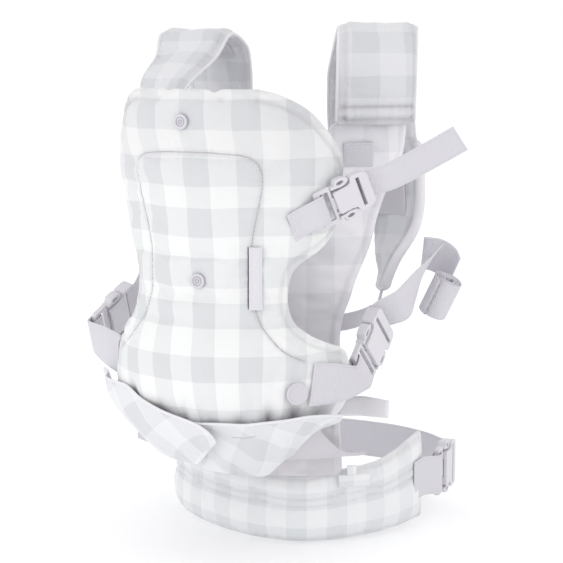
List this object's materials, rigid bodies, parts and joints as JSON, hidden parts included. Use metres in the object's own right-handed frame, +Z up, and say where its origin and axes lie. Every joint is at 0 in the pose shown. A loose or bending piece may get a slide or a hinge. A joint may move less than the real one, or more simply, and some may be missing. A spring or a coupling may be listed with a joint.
{
  "type": "soft baby carrier",
  "caption": "Soft structured baby carrier with a padded waist belt, a seat panel with a fold-down head support, padded shoulder straps, and webbing with side-release buckles.",
  "frame": {"origin": "centre of the belt's waist loop, at the height of the belt's lower edge", "axes": "+Z up, -Y out of the front panel, away from the wearer, +X to the right in front view"},
  "size_m": [0.3762, 0.3978, 0.4801],
  "materials": {
    "gingham_fabric": "woven cotton, white and cool grey gingham check, matte, quilted",
    "lining_fabric": "woven cotton lining, warm pale grey, matte",
    "webbing": "ribbed polyester webbing, pale lavender grey",
    "buckle_plastic": "moulded acetal, satin, pale lavender grey",
    "snap_plastic": "moulded plastic, off-white, slightly glossy",
    "label_fabric": "woven ribbon, blank, pale grey"
  },
  "bodies": {
    "carrier": {"body_panel": "gingham_fabric", "belt_pad": "gingham_fabric", "shoulder_pad_right": "gingham_fabric", "shoulder_pad_left": "gingham_fabric", "seat_tab_right": "gingham_fabric", "inner_panel": "lining_fabric", "seat_base": "lining_fabric", "upper_tab_right": "webbing", "upper_tab_left": "webbing", "lower_tab_right": "webbing", "lower_tab_left": "webbing", "belt_tab": "webbing", "strap_anchor_right": "webbing", "strap_anchor_left": "webbing", "belt_tail": "webbing", "strap_patch_right": "webbing", "strap_patch_left": "webbing", "upper_right_buckle_male": "buckle_plastic", "upper_left_buckle_male": "buckle_plastic", "lower_right_buckle_male": "buckle_plastic", "lower_left_buckle_male": "buckle_plastic", "waist_buckle_male": "buckle_plastic", "body_snap": "snap_plastic", "seat_button": "snap_plastic", "side_label": "label_fabric"},
    "head_support": {"head_panel": "gingham_fabric", "head_snap": "snap_plastic"},
    "flap_left": {"seat_flap_left": "gingham_fabric"},
    "flap_right": {"seat_flap_right": "gingham_fabric"},
    "upper_right_pull": {"upper_right_buckle_female": "buckle_plastic", "upper_webbing_right": "webbing"},
    "upper_right_prong_a": {"upper_right_buckle_prong_a": "buckle_plastic"},
    "upper_right_prong_b": {"upper_right_buckle_prong_b": "buckle_plastic"},
    "upper_left_pull": {"upper_left_buckle_female": "buckle_plastic", "upper_webbing_left": "webbing"},
    "upper_left_prong_a": {"upper_left_buckle_prong_a": "buckle_plastic"},
    "upper_left_prong_b": {"upper_left_buckle_prong_b": "buckle_plastic"},
    "lower_right_pull": {"lower_right_buckle_female": "buckle_plastic", "lower_webbing_right": "webbing", "lower_tail_right": "webbing", "lower_roll_right": "webbing"},
    "lower_right_prong_a": {"lower_right_buckle_prong_a": "buckle_plastic"},
    "lower_right_prong_b": {"lower_right_buckle_prong_b": "buckle_plastic"},
    "lower_left_pull": {"lower_left_buckle_female": "buckle_plastic", "lower_webbing_left": "webbing", "lower_roll_left": "webbing"},
    "lower_left_prong_a": {"lower_left_buckle_prong_a": "buckle_plastic"},
    "lower_left_prong_b": {"lower_left_buckle_prong_b": "buckle_plastic"},
    "waist_pull": {"waist_buckle_female": "buckle_plastic", "belt_webbing": "webbing"},
    "waist_prong_a": {"waist_buckle_prong_a": "buckle_plastic"},
    "waist_prong_b": {"waist_buckle_prong_b": "buckle_plastic"}
  },
  "joints": [
    {"name": "head_support_fold", "type": "hinge", "parent": "carrier", "child": "head_support", "pos_m": [0, -0.262, 0.3208], "axis": [1, 0, 0], "range_deg": [0, 170]},
    {"name": "flap_left_lift", "type": "hinge", "parent": "carrier", "child": "flap_left", "pos_m": [-0.147, -0.15, 0.144], "axis": [0, 0, -1], "range_deg": [0, 40]},
    {"name": "flap_right_lift", "type": "hinge", "parent": "carrier", "child": "flap_right", "pos_m": [0.1135, -0.188, 0.13], "axis": [0, 0, 1], "range_deg": [0, 14]},
    {"name": "upper_right_release", "type": "slide", "parent": "carrier", "child": "upper_right_pull", "axis": [0.6053, 0.6833, 0.4082], "range_m": [0, 0.02]},
    {"name": "upper_right_prong_a_squeeze", "type": "hinge", "parent": "carrier", "child": "upper_right_prong_a", "pos_m": [0.10375, -0.19519, 0.33062], "axis": [-0.7678, 0.6365, 0.073], "range_deg": [0, 4], "stiffness_Nm_per_rad": 0.5},
    {"name": "upper_right_prong_b_squeeze", "type": "hinge", "parent": "carrier", "child": "upper_right_prong_b", "pos_m": [0.10942, -0.18554, 0.30605], "axis": [-0.7678, 0.6365, 0.073], "range_deg": [-4, 0], "stiffness_Nm_per_rad": 0.5},
    {"name": "upper_left_release", "type": "slide", "parent": "carrier", "child": "upper_left_pull", "axis": [-0.1409, 0.7847, 0.6036], "range_m": [0, 0.02]},
    {"name": "upper_left_prong_a_squeeze", "type": "hinge", "parent": "carrier", "child": "upper_left_prong_a", "pos_m": [-0.11507, -0.1324, 0.3389], "axis": [0.9852, 0.171, 0.0076], "range_deg": [0, 4], "stiffness_Nm_per_rad": 0.5},
    {"name": "upper_left_prong_b_squeeze", "type": "hinge", "parent": "carrier", "child": "upper_left_prong_b", "pos_m": [-0.11244, -0.14849, 0.36042], "axis": [0.9852, 0.171, 0.0076], "range_deg": [-4, 0], "stiffness_Nm_per_rad": 0.5},
    {"name": "lower_right_release", "type": "slide", "parent": "carrier", "child": "lower_right_pull", "axis": [0.0799, 0.669, 0.7389], "range_m": [0, 0.02]},
    {"name": "lower_right_prong_a_squeeze", "type": "hinge", "parent": "carrier", "child": "lower_right_prong_a", "pos_m": [0.11188, -0.14338, 0.1891], "axis": [-0.9964, 0.0739, 0.0408], "range_deg": [0, 4], "stiffness_Nm_per_rad": 0.5},
    {"name": "lower_right_prong_b_squeeze", "type": "hinge", "parent": "carrier", "child": "lower_right_prong_b", "pos_m": [0.11297, -0.1138, 0.1622], "axis": [-0.9964, 0.0739, 0.0408], "range_deg": [-4, 0], "stiffness_Nm_per_rad": 0.5},
    {"name": "lower_left_release", "type": "slide", "parent": "carrier", "child": "lower_left_pull", "axis": [0.2024, 0.8503, 0.4859], "range_m": [0, 0.02]},
    {"name": "lower_left_prong_a_squeeze", "type": "hinge", "parent": "carrier", "child": "lower_left_prong_a", "pos_m": [-0.16528, -0.10653, 0.16877], "axis": [0.9686, -0.1009, -0.227], "range_deg": [0, 4], "stiffness_Nm_per_rad": 0.5},
    {"name": "lower_left_prong_b_squeeze", "type": "hinge", "parent": "carrier", "child": "lower_left_prong_b", "pos_m": [-0.15952, -0.1272, 0.20253], "axis": [0.9686, -0.1009, -0.227], "range_deg": [-4, 0], "stiffness_Nm_per_rad": 0.5},
    {"name": "waist_release", "type": "slide", "parent": "carrier", "child": "waist_pull", "axis": [-0.1203, 0.9927, 0], "range_m": [0, 0.02]},
    {"name": "waist_prong_a_squeeze", "type": "hinge", "parent": "carrier", "child": "waist_prong_a", "pos_m": [0.12686, 0.02967, 0.058], "axis": [-0.9927, -0.1203, 0], "range_deg": [0, 4], "stiffness_Nm_per_rad": 0.5},
    {"name": "waist_prong_b_squeeze", "type": "hinge", "parent": "carrier", "child": "waist_prong_b", "pos_m": [0.12686, 0.02967, 0.018], "axis": [-0.9927, -0.1203, 0], "range_deg": [-4, 0], "stiffness_Nm_per_rad": 0.5}
  ],
  "couplings": [
    {"joint": "flap_right_lift", "follows": "flap_left_lift", "ratio": 0.35},
    {"joint": "upper_right_prong_b_squeeze", "follows": "upper_right_prong_a_squeeze", "ratio": -1},
    {"joint": "upper_left_prong_b_squeeze", "follows": "upper_left_prong_a_squeeze", "ratio": -1},
    {"joint": "lower_right_prong_b_squeeze", "follows": "lower_right_prong_a_squeeze", "ratio": -1},
    {"joint": "lower_left_prong_b_squeeze", "follows": "lower_left_prong_a_squeeze", "ratio": -1},
    {"joint": "waist_prong_b_squeeze", "follows": "waist_prong_a_squeeze", "ratio": -1}
  ]
}
